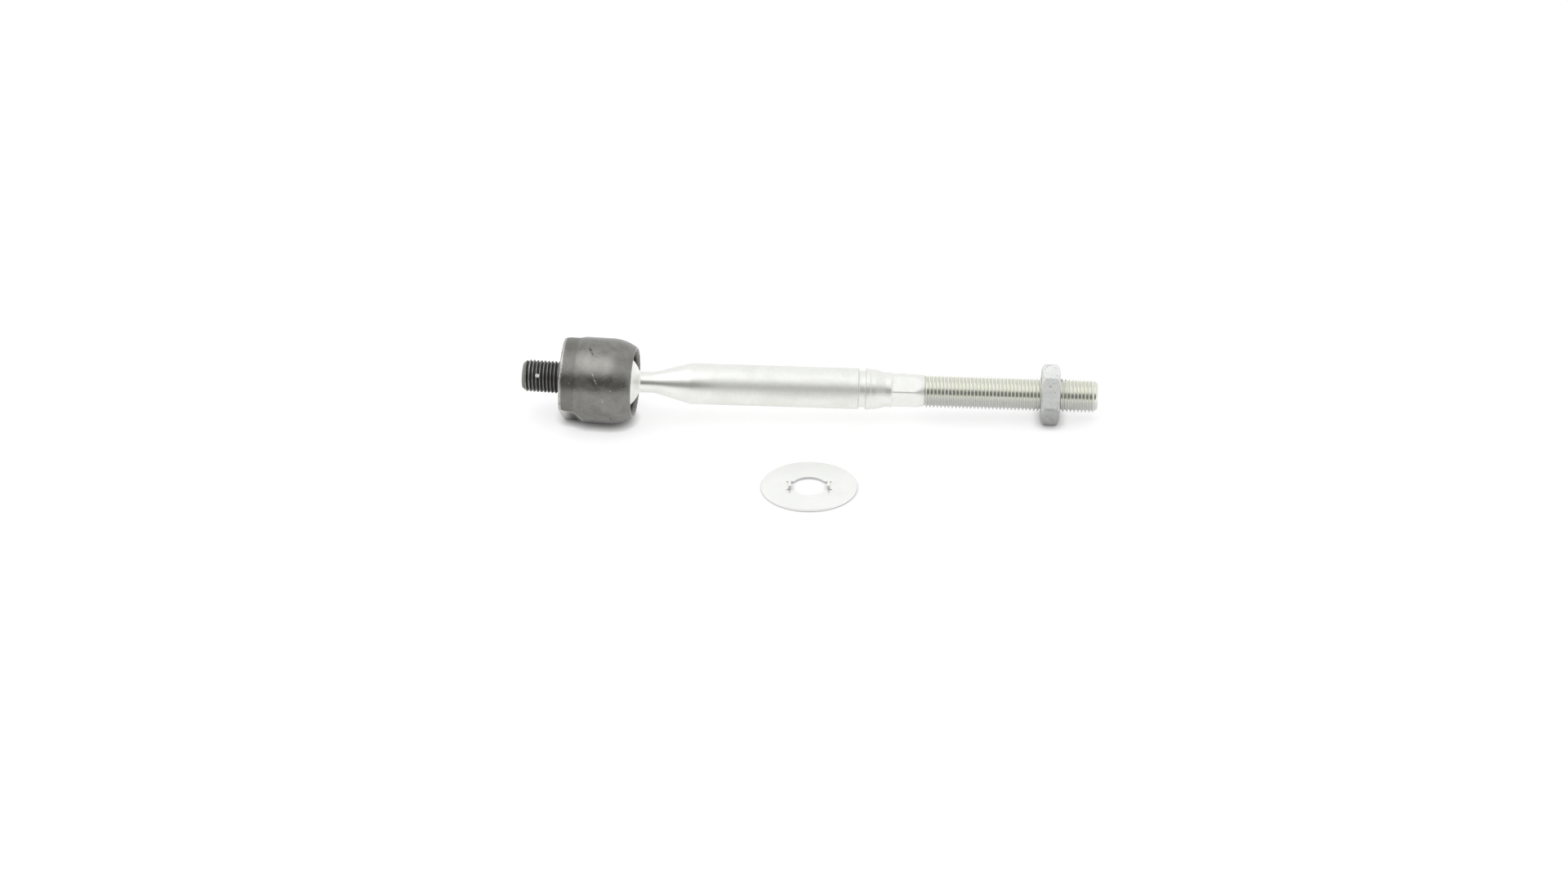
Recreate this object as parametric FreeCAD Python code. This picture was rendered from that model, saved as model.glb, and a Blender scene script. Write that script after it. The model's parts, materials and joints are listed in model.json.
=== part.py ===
import FreeCAD, Part

import math
import os

Vec = FreeCAD.Vector
Turn = FreeCAD.Rotation

# Sizes are in millimetres and degrees. The origin is the centre of the rack face, +X runs along the
# socket's axis towards its mouth, +Z is up, and the rod lies as it rests on a flat surface.

# Threads are drawn as plain cylinders over their crests, with the bevels of their ends.
thread_pitch = 1.5
stud_d = 13.2
stud_length = 16.7
rod_thread_d = 13.7
rod_thread_length = 70.4
end_bevel_length = 1.8
end_bevel_extra = 0.45

# Socket housing, whose lip turns in to a throat and flares again; the first three shares are of the
# ball's radius, ahead of its centre, and the last is the grease pocket's radius
body_d = 34.8
rack_wall = 3.9
side_wall = 2.0
rim_drop = 0.2
rim_bevel = 0.5
crown_ahead = 0.8
bend_share = 0.49
throat_share = 0.67
throat_step = 0.8
mouth_share = 0.83
mouth_gap = 0.9
lip_bevel = 0.25
floor_gap = 1.5
pocket_share = 0.65

# The two wrench flats at the rack end
flat_depth = 1.8
flat_length = 6.2
flat_tilt = 48.7
flat_bevel_length = 2.4
flat_bevel_depth = 0.8
flat_runout_angle = 31.0

# Ball, and the bearing ring that holds it against a conical seat in the bore
ball_flat_d = 7.0
ring_wall = 2.2
ring_front_share = 0.66
ring_angle = 33.0
running_gap = 0.1

# Rod, from the ball outwards
neck_d = 8.6
neck_reach = 18.3
cone_length = 14.7
cone_blend = 8.0
shank_d = 16.7
shank_length = 68.1
groove_d = 15.1
groove_width = 2.9
collar_width = 1.9
shoulder_d = 16.2
shoulder_width = 2.1
taper_length = 3.9
taper_blend = 2.5
waist_d = 14.1
waist_width = 2.3
hexagon_width = 12.8
hexagon_length = 9.6
hexagon_runout = 3.9
hexagon_turn = 21.2

# Jam nut
nut_width = 21.7
nut_thickness = 7.5
nut_corner_d = 24.8
nut_face_d = 20.2
nut_from_end = 15.4
nut_thread_gap = 0.05

# Lock washer
washer_d = 38.6
washer_t = 1.0
washer_hole_gap = 0.5
dog_width = 5.4
dog_height = 1.6
dog_bend = 0.6
dog_slit = 0.9
dog_setback = 0.2
washer_along = 81.0
washer_aside = 56.4

# How the rod lies: turned sideways in the socket, and dropping until the nut rests
rod_yaw = 8.0

# Worked out from the sizes above
body_r = body_d / 2
bore_r = body_r - side_wall
ball_r = bore_r - ring_wall - 2 * running_gap
mouth_r = ball_r + mouth_gap
mouth_reach = mouth_share * ball_r
throat_r = ball_r - throat_step
throat_reach = throat_share * ball_r
bore_ahead = bend_share * ball_r
bore_back = (ball_r + running_gap) * math.sqrt(2) - bore_r
bore_floor = ball_r + floor_gap
ball_depth = rack_wall + bore_floor
thread_depth = 0.6134 * thread_pitch
cone_start = neck_reach
shank_start = cone_start + cone_length
groove_start = shank_start + shank_length
groove_end = groove_start + groove_width
collar_end = groove_end + collar_width
shoulder_end = collar_end + shoulder_width
taper_end = shoulder_end + taper_length
waist_end = taper_end + waist_width
hexagon_end = waist_end + hexagon_length
thread_start = hexagon_end + hexagon_runout
rod_end = thread_start + rod_thread_length
nut_end = rod_end - nut_from_end
nut_start = nut_end - nut_thickness


def arc_on(centre, radius, x_from, x_to):
    """Arc of the circle about centre, on its upper side, from one x to another."""
    def at(x):
        return Vec(x, centre.y + math.sqrt(radius ** 2 - (x - centre.x) ** 2), 0)

    return Part.Arc(at(x_from), at((x_from + x_to) / 2), at(x_to)).toShape()


def outline(points):
    """Straight edges through (x, radius) points."""
    spots = [Vec(x, r, 0) for x, r in points]
    return [Part.LineSegment(a, b).toShape() for a, b in zip(spots, spots[1:])]


def turned(edges):
    """Solid turned about the X axis from the edges of one closed outline."""
    face = Part.Face(Part.Wire(Part.__sortEdges__(edges)))
    return face.revolve(Vec(0, 0, 0), Vec(1, 0, 0), 360)


def hexagon_bar(x_from, x_to, width, corner_angle):
    """Six-sided bar along X; corner_angle lifts one corner above the -Y side."""
    corner_r = width / math.sqrt(3)
    ring = []
    for k in range(7):
        a = math.radians(corner_angle + 60 * k)
        ring.append(Vec(x_from, -corner_r * math.cos(a), corner_r * math.sin(a)))
    return Part.Face(Part.makePolygon(ring)).extrude(Vec(x_to - x_from, 0, 0))


def rounded(shape, radius, x, r):
    """Round the circular edge that lies at x with radius r."""
    def is_it(edge):
        curve = edge.Curve
        if not isinstance(curve, Part.Circle):
            return False
        return abs(curve.Center.x - x) < 0.01 and abs(curve.Radius - r) < 0.01

    return shape.makeFillet(radius, [e for e in shape.Edges if is_it(e)])


def flat_cutter():
    """What is cut away above one wrench flat: bevel, flat and slanted run-out."""
    h = body_r - flat_depth
    clear = body_r + 2
    rise = clear - h
    run = rise / math.tan(math.radians(flat_runout_angle))
    side = Part.makePolygon([
        Vec(0, 0, h - flat_bevel_depth),
        Vec(flat_bevel_length, 0, h),
        Vec(flat_length, 0, h),
        Vec(flat_length + run, 0, clear),
        Vec(-1, 0, clear),
        Vec(-1, 0, h - flat_bevel_depth),
        Vec(0, 0, h - flat_bevel_depth),
    ])
    return Part.Face(side).extrude(Vec(0, body_d, 0)).translated(Vec(0, -body_r, 0))


def make_housing():
    stud_r = stud_d / 2
    rim_r = body_r - rim_drop
    bevel_depth = thread_depth + end_bevel_extra
    crown_x = ball_depth + crown_ahead
    mouth_x = ball_depth + mouth_reach
    pocket_r = pocket_share * ball_r
    away = math.hypot(crown_x - rim_bevel, rim_r)
    lean = math.atan2(rim_r, crown_x - rim_bevel) + math.acos(body_r / away)
    barrel_x = crown_x - body_r * math.cos(lean)

    crown = arc_on(Vec(crown_x, 0, 0), body_r, barrel_x, mouth_x - lip_bevel)
    lip_r = crown.Vertexes[-1].Point.y
    edges = outline([
        (mouth_x - lip_bevel, lip_r),
        (mouth_x, lip_r - lip_bevel),
        (mouth_x, mouth_r),
        (ball_depth + throat_reach, throat_r),
        (ball_depth + bore_ahead, bore_r),
        (ball_depth - bore_back, bore_r),
        (ball_depth - bore_back - (bore_r - pocket_r), pocket_r),
        (rack_wall, pocket_r),
        (rack_wall, 0),
        (-stud_length, 0),
        (-stud_length, stud_r - bevel_depth),
        (end_bevel_length - stud_length, stud_r),
        (0, stud_r),
        (0, rim_r - rim_bevel),
        (rim_bevel, rim_r),
        (barrel_x, crown.Vertexes[0].Point.y),
    ])
    housing = turned(edges + [crown])

    for side in (0, 180):
        cutter = flat_cutter()
        cutter.rotate(Vec(0, 0, 0), Vec(1, 0, 0), 90 + flat_tilt + side)
        housing = housing.cut(cutter)
    return housing


def make_seat():
    """Bearing ring that fills the front of the bore and bears on the ball with a cone."""
    inner_r = ball_r + running_gap
    outer_r = bore_r - running_gap
    front_x = ring_front_share * ball_r
    lean = math.atan2(bore_r - throat_r, throat_reach - bore_ahead)
    ahead_x = bore_ahead - running_gap * math.tan(lean / 2)
    front_r = outer_r - (front_x - ahead_x) * math.tan(lean)
    back_x = running_gap - bore_back
    bearing = math.radians(ring_angle)
    ring_throat_r = (inner_r - front_x * math.sin(bearing)) / math.cos(bearing)

    ring = turned(outline([
        (front_x, ring_throat_r),
        (front_x, front_r),
        (ahead_x, outer_r),
        (back_x, outer_r),
        (back_x, inner_r),
        (inner_r * math.tan(bearing / 2), inner_r),
        (front_x, ring_throat_r),
    ]))
    ring.translate(Vec(ball_depth, 0, 0))
    return ring


def make_hexagon():
    """Wrench hexagon, pointed towards the thread by a long bevel."""
    h = hexagon_width / 2
    corner_r = hexagon_width / math.sqrt(3)
    step = corner_r - h
    envelope = turned(outline([
        (waist_end - step, 0),
        (waist_end - step, h),
        (waist_end, corner_r),
        (hexagon_end, corner_r),
        (thread_start, h),
        (thread_start, 0),
        (waist_end - step, 0),
    ]))
    bar = hexagon_bar(waist_end - step, thread_start, hexagon_width, hexagon_turn)
    return envelope.common(bar)


def make_rod():
    thread_r = rod_thread_d / 2
    root_r = thread_r - thread_depth
    shank_r = shank_d / 2
    waist_r = waist_d / 2
    core_r = min(hexagon_width / 2, thread_r) - 0.2
    ball_flat_x = -math.sqrt(ball_r ** 2 - (ball_flat_d / 2) ** 2)
    neck_r = neck_d / 2
    neck_x = math.sqrt(ball_r ** 2 - neck_r ** 2)
    bevel_depth = thread_depth + end_bevel_extra

    ball = Part.Arc(
        Vec(ball_flat_x, ball_flat_d / 2, 0), Vec(0, ball_r, 0), Vec(neck_x, neck_r, 0)
    ).toShape()
    edges = [ball]
    edges += outline([
        (neck_x, neck_r),
        (cone_start, neck_r),
        (shank_start, shank_r),
        (groove_start, shank_r),
        (groove_start, groove_d / 2),
        (groove_end, groove_d / 2),
        (groove_end, shank_r),
        (collar_end, shank_r),
        (collar_end, shoulder_d / 2),
        (shoulder_end, shoulder_d / 2),
        (taper_end, waist_r),
        (waist_end, waist_r),
        (waist_end + waist_r - core_r, core_r),
        (thread_start, core_r),
        (thread_start, root_r),
        (thread_start + thread_depth, thread_r),
        (rod_end - end_bevel_length, thread_r),
        (rod_end, thread_r - bevel_depth),
        (rod_end, 0),
        (ball_flat_x, 0),
        (ball_flat_x, ball_flat_d / 2),
    ])
    rod = turned(edges)
    rod = rounded(rod, cone_blend, cone_start, neck_r)
    rod = rounded(rod, cone_blend, shank_start, shank_r)
    rod = rounded(rod, taper_blend, taper_end, waist_r)
    return rod.fuse(make_hexagon()).removeSplitter()


def make_nut():
    """Hexagon nut lying on a flat, bevelled at both faces."""
    corner_r = nut_corner_d / 2
    face_r = nut_face_d / 2
    bore_r = rod_thread_d / 2 + nut_thread_gap
    bevel = (corner_r - face_r) * math.tan(math.radians(30))
    envelope = turned(outline([
        (nut_start, 0),
        (nut_start, face_r),
        (nut_start + bevel, corner_r),
        (nut_end - bevel, corner_r),
        (nut_end, face_r),
        (nut_end, 0),
        (nut_start, 0),
    ]))
    bore = Part.makeCylinder(bore_r, nut_thickness, Vec(nut_start, 0, 0), Vec(1, 0, 0))
    blank = hexagon_bar(nut_start, nut_end, nut_width, 0)
    return envelope.common(blank).cut(bore)


def rod_drop():
    """Angle by which the rod falls from the ball to where the nut's flat meets the surface."""
    h = nut_width / 2
    touch = nut_end - (h - nut_face_d / 2) * math.tan(math.radians(30))
    return math.degrees(math.asin(body_r / math.hypot(touch, h)) - math.atan2(h, touch))


def laid(shape):
    """Carry a piece of the rod from the socket's axis to where it rests."""
    turn = Turn(Vec(0, 0, 1), rod_yaw).multiply(Turn(Vec(0, 1, 0), rod_drop()))
    shape.Placement = FreeCAD.Placement(Vec(ball_depth, 0, 0), turn)
    return shape


def make_dog(hole_r):
    """Strip that runs in from the disc and turns up beside the hole."""
    inner_x = hole_r + dog_setback
    outer_x = inner_x + washer_t
    bend_x = outer_x + dog_bend
    bend_z = washer_t + dog_bend
    root_x = bend_x + dog_setback
    top = washer_t + dog_height
    diagonal = math.sqrt(0.5)
    big = washer_t + dog_bend

    def on_bend(radius):
        return Vec(bend_x - radius * diagonal, 0, bend_z - radius * diagonal)

    edges = [
        Part.LineSegment(Vec(root_x, 0, 0), Vec(bend_x, 0, 0)).toShape(),
        Part.Arc(Vec(bend_x, 0, 0), on_bend(big), Vec(inner_x, 0, bend_z)).toShape(),
        Part.LineSegment(Vec(inner_x, 0, bend_z), Vec(inner_x, 0, top)).toShape(),
        Part.LineSegment(Vec(inner_x, 0, top), Vec(outer_x, 0, top)).toShape(),
        Part.LineSegment(Vec(outer_x, 0, top), Vec(outer_x, 0, bend_z)).toShape(),
        Part.Arc(Vec(outer_x, 0, bend_z), on_bend(dog_bend), Vec(bend_x, 0, washer_t)).toShape(),
        Part.LineSegment(Vec(bend_x, 0, washer_t), Vec(root_x, 0, washer_t)).toShape(),
        Part.LineSegment(Vec(root_x, 0, washer_t), Vec(root_x, 0, 0)).toShape(),
    ]
    strip = Part.Face(Part.Wire(edges)).extrude(Vec(0, dog_width, 0))
    strip.translate(Vec(0, -dog_width / 2, 0))
    return strip


def make_washer():
    hole_r = rod_thread_d / 2 + washer_hole_gap / 2
    notch_x = hole_r + dog_setback + washer_t + dog_bend + dog_setback
    notch_width = dog_width + 2 * dog_slit
    disc = Part.makeCylinder(washer_d / 2, washer_t)
    disc = disc.cut(Part.makeCylinder(hole_r, washer_t))
    for side in (0, 180):
        notch = Part.makeBox(notch_x, notch_width, washer_t, Vec(0, -notch_width / 2, 0))
        dog = make_dog(hole_r)
        for piece in (notch, dog):
            piece.rotate(Vec(0, 0, 0), Vec(0, 0, 1), side)
        disc = disc.cut(notch).fuse(dog)
    disc = disc.removeSplitter()
    yaw = math.radians(rod_yaw)
    disc.rotate(Vec(0, 0, 0), Vec(0, 0, 1), rod_yaw)
    disc.translate(Vec(
        ball_depth + washer_along * math.cos(yaw) + washer_aside * math.sin(yaw),
        washer_along * math.sin(yaw) - washer_aside * math.cos(yaw),
        -body_r,
    ))
    return disc


def main():
    os.makedirs("parts", exist_ok=True)
    pieces = {
        "socket_housing": make_housing(),
        "ball_seat": make_seat(),
        "tie_rod": laid(make_rod()),
        "jam_nut": laid(make_nut()),
        "lock_washer": make_washer(),
    }
    for name, shape in pieces.items():
        shape.exportStep("parts/" + name + ".step")
        print(name, len(shape.Solids), "solid", shape.isValid(), round(shape.Volume, 1), "mm3")
    print("rod drop", round(rod_drop(), 4), "degrees")


main()
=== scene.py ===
import json
import math

import bmesh
import bpy
from mathutils import Matrix, Vector


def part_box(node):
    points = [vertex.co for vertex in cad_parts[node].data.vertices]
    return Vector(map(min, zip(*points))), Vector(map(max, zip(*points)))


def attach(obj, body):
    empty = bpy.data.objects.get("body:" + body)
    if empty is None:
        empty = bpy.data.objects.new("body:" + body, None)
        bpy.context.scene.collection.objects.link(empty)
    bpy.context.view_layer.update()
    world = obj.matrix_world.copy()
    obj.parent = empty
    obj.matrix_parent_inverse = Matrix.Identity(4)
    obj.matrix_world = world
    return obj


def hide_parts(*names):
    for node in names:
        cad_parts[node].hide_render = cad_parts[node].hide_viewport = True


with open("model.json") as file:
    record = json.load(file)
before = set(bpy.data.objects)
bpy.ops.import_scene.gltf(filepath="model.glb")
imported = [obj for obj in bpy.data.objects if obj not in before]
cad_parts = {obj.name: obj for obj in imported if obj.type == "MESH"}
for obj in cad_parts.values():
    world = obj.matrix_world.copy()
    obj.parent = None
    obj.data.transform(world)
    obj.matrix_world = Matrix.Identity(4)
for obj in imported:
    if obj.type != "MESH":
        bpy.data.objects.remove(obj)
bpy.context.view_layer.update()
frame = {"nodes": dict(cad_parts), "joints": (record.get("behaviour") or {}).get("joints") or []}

mm = 0.001
weldMm = 0.0005  # mesh points closer than this, in millimetres, become one
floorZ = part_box("socket_housing")[0].z
joints = {joint["name"]: joint for joint in frame["joints"]}
ballCentre = Vector(joints["ball_swing"]["pos_m"])
rodAxis = Vector(joints["nut_travel"]["axis"]).normalized()
rodYaw = math.atan2(rodAxis.y, rodAxis.x)
rodDrop = math.asin(-rodAxis.z)

# the socket sits at the frame's own origin; the rod and what it carries start at the ball's centre
socketPlace = Matrix.Identity(4)
rodPlace = (
    Matrix.Translation(ballCentre)
    @ Matrix.Rotation(rodYaw, 4, "Z")
    @ Matrix.Rotation(rodDrop, 4, "Y")
)


# mesh helpers, sizes in millimetres

def arcPoints(centreX, centreR, radius, fromDeg, toDeg, steps):
    # points of an arc in the (x, radius) outline, angles from the +x side
    made = []
    for i in range(steps + 1):
        a = math.radians(fromDeg + (toDeg - fromDeg) * i / steps)
        made.append((centreX + radius * math.cos(a), centreR + radius * math.sin(a)))
    return made


def roundedOutline(corners, steps):
    # corners are (x, radius, rounding); each corner gets an arc of that rounding
    made = []
    for i, (x, r, rounding) in enumerate(corners):
        here = Vector((x, r))
        if rounding <= 0 or i in (0, len(corners) - 1):
            made.append((x, r))
            continue
        back = (Vector(corners[i - 1][:2]) - here).normalized()
        ahead = (Vector(corners[i + 1][:2]) - here).normalized()
        half = back.angle(ahead) / 2
        reach = rounding / math.tan(half)
        centre = here + (back + ahead).normalized() * (rounding / math.sin(half))
        start = here + back * reach - centre
        end = here + ahead * reach - centre
        sweep = start.angle_signed(end)
        for k in range(steps + 1):
            a = -sweep * k / steps
            c, s = math.cos(a), math.sin(a)
            made.append((centre.x + c * start.x - s * start.y, centre.y + s * start.x + c * start.y))
    return made


def filled(outline, longest):
    # adds points to the long straight runs of an outline
    made = [outline[0]]
    for a, b in zip(outline, outline[1:]):
        n = max(1, math.ceil(math.dist(a, b) / longest))
        for k in range(1, n + 1):
            made.append((a[0] + (b[0] - a[0]) * k / n, a[1] + (b[1] - a[1]) * k / n))
    return made


def finishMesh(name, bm, place, body, material, creaseDeg):
    # edges that turn by more than creaseDeg stay sharp
    bmesh.ops.recalc_face_normals(bm, faces=bm.faces)
    mesh = bpy.data.meshes.new(name)
    bm.to_mesh(mesh)
    bm.free()
    mesh.transform(place @ Matrix.Scale(mm, 4))
    mesh.shade_smooth()
    mesh.set_sharp_from_angle(angle=math.radians(creaseDeg))
    mesh.materials.append(material)
    piece = bpy.data.objects.new(name, mesh)
    bpy.context.scene.collection.objects.link(piece)
    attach(piece, body)
    return piece


def softMin(a, b, blend):
    # the smaller of two radii, with the edge between them rounded over
    share = min(1.0, max(0.0, 0.5 + 0.5 * (b - a) / blend))
    return b + (a - b) * share - blend * share * (1 - share)


onAxisR = 0.01  # a ring with a smaller radius is a single point
flatSight = 0.5  # cosine of the angle from a flat's middle past which it cuts nothing


def turnedPiece(rings, flatDegs, columns, blend, edgeWearAndShade):
    # rings are (x, radius, height of the flats or None, mark for edge wear and painted edge shade); flats
    # are cut at the given angles
    bm = bmesh.new()
    wearAndShadeLayer = bm.verts.layers.float.new("wearAndShade")
    rows = []
    for x, r, h, wearAndShade in rings:
        if r < onAxisR:
            v = bm.verts.new((x, 0, 0))
            v[wearAndShadeLayer] = wearAndShade
            rows.append([v])
            continue
        row = []
        for i in range(columns):
            a = 2 * math.pi * i / columns
            here, atEdge = r, 0.0
            if h is not None:
                planes = []
                for deg in flatDegs:
                    facing = math.cos(a - math.radians(deg))
                    if facing > flatSight:
                        planes.append(h / facing)
                for plane in sorted(planes, reverse=True):
                    if plane - here < blend:
                        atEdge = max(atEdge, 1 - abs(plane - here) / blend)
                        here = softMin(here, plane, blend)
            v = bm.verts.new((x, here * math.cos(a), here * math.sin(a)))
            v[wearAndShadeLayer] = max(wearAndShade, edgeWearAndShade * min(1.0, atEdge))
            row.append(v)
        rows.append(row)
    for a, b in zip(rows, rows[1:]):
        n = max(len(a), len(b))
        for k in range(n):
            corner = [a[k % len(a)], a[(k + 1) % len(a)], b[(k + 1) % len(b)], b[k % len(b)]]
            kept = []
            for v in corner:
                if v not in kept:
                    kept.append(v)
            bm.faces.new(kept)
    return bm


# shared by both threads: flank is its run along the thread per millimetre of depth, corner the share of
# the pitch that a rounded corner takes, high and low the heights beside crest and root; the bevel cuts
# the thread's end
ridge = {"flank": 0.53, "corner": 0.03, "high": 0.95, "low": 0.08, "bevelDrop": 1.37, "bevelLength": 1.8}


def threadPiece(s):
    # right-hand ridge from start to end that grows out of the plain radius at fadeStart; top is the
    # crest's share of the pitch
    x0, x1, crest = s["start"], s["end"], s["crest"]
    depth, pitch, columns = s["depth"], s["pitch"], s["columns"]
    top, corner, high = s["top"], ridge["corner"], ridge["high"]
    flank = ridge["flank"] * depth / pitch
    shape = [
        (0.0, high), (corner, 1.0), (top - corner, 1.0), (top, high), (top + flank, ridge["low"]),
        (top + flank + corner, 0.0), (1 - corner - flank, 0.0), (1 - flank, ridge["low"]),
    ]
    bm = bmesh.new()
    wearAndShadeLayer = bm.verts.layers.float.new("wearAndShade")

    def heightAt(f):
        f -= math.floor(f)
        for (fa, ha), (fb, hb) in zip(shape, shape[1:] + [(1.0, high)]):
            if fa <= f <= fb:
                return ha + (hb - ha) * (f - fa) / (fb - fa)
        return high

    turns = math.ceil((x1 - x0) / pitch) + 2
    rows = [t + f for t in range(turns) for f, _ in shape]
    slope = ridge["bevelDrop"] / ridge["bevelLength"]
    low, plain = crest - depth, s["plainR"]
    grid = []
    for j in range(columns):
        column = []
        for p in rows:
            x = x0 - pitch + pitch * (p + j / columns)
            inside = min(max(x, x0), x1)
            height = heightAt((inside - x0 + pitch) / pitch - j / columns)
            grown = min(1.0, max(0.0, (inside - s["fadeStart"]) / s["fadeLength"]))
            grown = grown * grown * (3 - 2 * grown)
            r = plain + (low + depth * height - plain) * grown
            r = min(r, crest - ridge["bevelDrop"] + (x1 - inside) * slope)
            a = 2 * math.pi * j / columns
            v = bm.verts.new((inside, r * math.cos(a), r * math.sin(a)))
            v[wearAndShadeLayer] = max(0.0, min(1.0, (r - low) / depth))
            column.append(v)
        grid.append(column)
    step = len(shape)
    for j in range(columns):
        for k in range(len(rows) - 1):
            if j < columns - 1:
                a, b = grid[j + 1][k], grid[j + 1][k + 1]
            elif k + step + 1 < len(rows):
                a, b = grid[0][k + step], grid[0][k + step + 1]
            else:
                continue
            bm.faces.new([grid[j][k], a, b, grid[j][k + 1]])
    # rows past either end lie on one another: they are joined, and the two open ends are closed
    bmesh.ops.remove_doubles(bm, verts=bm.verts, dist=weldMm)
    bmesh.ops.dissolve_degenerate(bm, edges=bm.edges, dist=weldMm)
    loose = [e for e in bm.edges if e.is_boundary]
    bmesh.ops.holes_fill(bm, edges=loose, sides=0)
    return bm


# sizes of the forged socket, which its finish needs too
socket = {
    "bodyR": 17.38, "crownX": 19.2, "crownSteps": 44,
    "rimR": 17.18, "rimBevel": 0.5, "rimRound": 0.35, "faceRound": 0.2, "rimWear": (0.05, 0.95),
    "mouthX": 29.17, "mouthR": 13.9, "mouthRound": 0.2, "mouthWear": 0.2, "mouthWorn": 0.5,
    "lipDrop": 0.25, "lipRound": 0.3,
    "throatX": 27.1, "throatR": 12.22, "throatRound": 0.5,
    "boreX": 24.77, "boreR": 15.42, "boreBackX": 15.25, "pocketX": 8.3, "pocketR": 8.45, "pocketFloor": 4.0,
    "studR": 6.0,
    "flatH": 15.58, "flatLength": 6.2, "flatBevel": 0.8, "flatBevelLength": 2.4, "flatRunoutDeg": 31.0,
    "flatsEnd": 12.0, "flatDeg": 48.7, "flatBlend": 0.5, "flatWear": 0.7,
    "columns": 360, "creaseDeg": 24.0,
}


# shader helpers

class Nodes:
    # places nodes in one tree and joins them

    def __init__(self, tree):
        self.tree = tree
        self.tree.nodes.clear()

    def feed(self, plug, value):
        # an input takes another node's output or a fixed value
        if isinstance(value, bpy.types.NodeSocket):
            self.tree.links.new(value, plug)
        else:
            plug.default_value = value

    def put(self, kind, inputs=None, **settings):
        node = self.tree.nodes.new(kind)
        for key, value in settings.items():
            setattr(node, key, value)
        for key, value in (inputs or {}).items():
            self.feed(node.inputs[key], value)
        return node

    def math(self, operation, a, b=0.0, c=0.0, clamp=False):
        node = self.put("ShaderNodeMath", {0: a, 1: b, 2: c}, operation=operation, use_clamp=clamp)
        return node.outputs[0]

    def vector(self, operation, a, b=(0.0, 0.0, 0.0)):
        node = self.put("ShaderNodeVectorMath", {0: a, 1: b}, operation=operation)
        isNumber = operation in ("DOT_PRODUCT", "DISTANCE", "LENGTH")
        return node.outputs["Value" if isNumber else "Vector"]

    def ramp(self, value, low, high, toLow=0.0, toHigh=1.0):
        node = self.put(
            "ShaderNodeMapRange",
            {"Value": value, "From Min": low, "From Max": high, "To Min": toLow, "To Max": toHigh},
            interpolation_type="SMOOTHSTEP",
        )
        return node.outputs["Result"]

    def rampMm(self, value, span, toLow=0.0, toHigh=1.0):
        # the same for a length, with the span in millimetres
        return self.ramp(value, span[0] * mm, span[1] * mm, toLow, toHigh)

    def mix(self, factor, a, b):
        node = self.put("ShaderNodeMix", data_type="RGBA")
        for at, value in ((0, factor), (6, a), (7, b)):  # 6 and 7 are this node's two colours
            self.feed(node.inputs[at], value)
        return node.outputs[2]

    def noise(self, where, scale, detail, **more):
        inputs = {"Vector": where, "Scale": scale, "Detail": detail, **more}
        return self.put("ShaderNodeTexNoise", inputs).outputs["Fac"]

    def bump(self, height, strength, distance):
        # the distance is in metres
        inputs = {"Height": height, "Strength": strength, "Distance": distance}
        return self.put("ShaderNodeBump", inputs).outputs["Normal"]

    def place(self):
        return self.put("ShaderNodeTexCoord").outputs["Object"]

    def part(self, vector, axis):
        return self.put("ShaderNodeSeparateXYZ", {"Vector": vector}).outputs[axis]


def nodeGroup(name, inputs, outputs):
    # inputs are {label: start value}; outputs are the labels of plain numbers
    tree = bpy.data.node_groups.new(name, "ShaderNodeTree")
    for label, value in inputs.items():
        kind = "NodeSocketVector" if isinstance(value, tuple) else "NodeSocketFloat"
        tree.interface.new_socket(label, in_out="INPUT", socket_type=kind).default_value = value
    for label in outputs:
        tree.interface.new_socket(label, in_out="OUTPUT", socket_type="NodeSocketFloat")
    made = Nodes(tree)
    return tree, made, made.put("NodeGroupInput").outputs, made.put("NodeGroupOutput").inputs


def makeGrain():
    # fine tumbled grain of plated steel: a height for bump and a sparkle mask
    tree, n, given, out = nodeGroup("platedGrain", {"Scale": 2600.0}, ["Height", "Sparkle"])
    where = n.place()
    fine = n.noise(where, given["Scale"], 3.0, Roughness=0.6)
    slow = n.noise(where, n.math("MULTIPLY", given["Scale"], 0.31), 2.0)
    n.feed(out["Height"], n.math("MULTIPLY_ADD", fine, 0.7, n.math("MULTIPLY", slow, 0.5)))
    n.feed(out["Sparkle"], n.ramp(fine, 0.52, 0.72))
    return tree


def makePatches():
    # broad uneven patches with soft edges, for forged and dull plated surfaces
    tree, n, given, out = nodeGroup("unevenPatches", {"Size": 120.0, "Twist": 0.6, "Seed": 0.0}, ["Soft"])
    moved = n.vector("ADD", n.place(), given["Seed"])
    slow = n.noise(moved, given["Size"], 4.0, Distortion=given["Twist"])
    fine = n.noise(moved, n.math("MULTIPLY", given["Size"], 4.3), 3.0)
    both = n.math("MULTIPLY_ADD", fine, 0.35, n.math("MULTIPLY", slow, 0.65))
    n.feed(out["Soft"], n.ramp(both, 0.36, 0.64))
    return tree


def makeEdgeWearAndShadeMask():
    # mask of the edges that the meshes mark in their wearAndShade attribute, broken up by noise; it carries
    # real edge wear, painted edge shade and painted crest highlights
    tree, n, given, out = nodeGroup("edgeWearAndShadeMask", {"Amount": 1.0, "Breakup": 900.0, "Kept": 0.35}, ["Mask"])
    marked = n.put("ShaderNodeAttribute", attribute_name="wearAndShade").outputs["Fac"]
    broken = n.noise(n.place(), given["Breakup"], 3.0)
    kept = n.math("MULTIPLY", marked, n.ramp(broken, 0.3, 0.6, given["Kept"], 1.0))
    n.feed(out["Mask"], n.math("MULTIPLY", kept, given["Amount"], clamp=True))
    return tree


def makeSpot():
    # round soft spot about a point on the surface, in metres
    tree, n, given, out = nodeGroup(
        "surfaceSpot", {"Point": (0.0, 0.0, 0.0), "Inner": 0.0005, "Outer": 0.002}, ["Mask"]
    )
    far = n.vector("DISTANCE", n.place(), given["Point"])
    n.feed(out["Mask"], n.ramp(far, given["Inner"], given["Outer"], 1.0, 0.0))
    return tree


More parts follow.
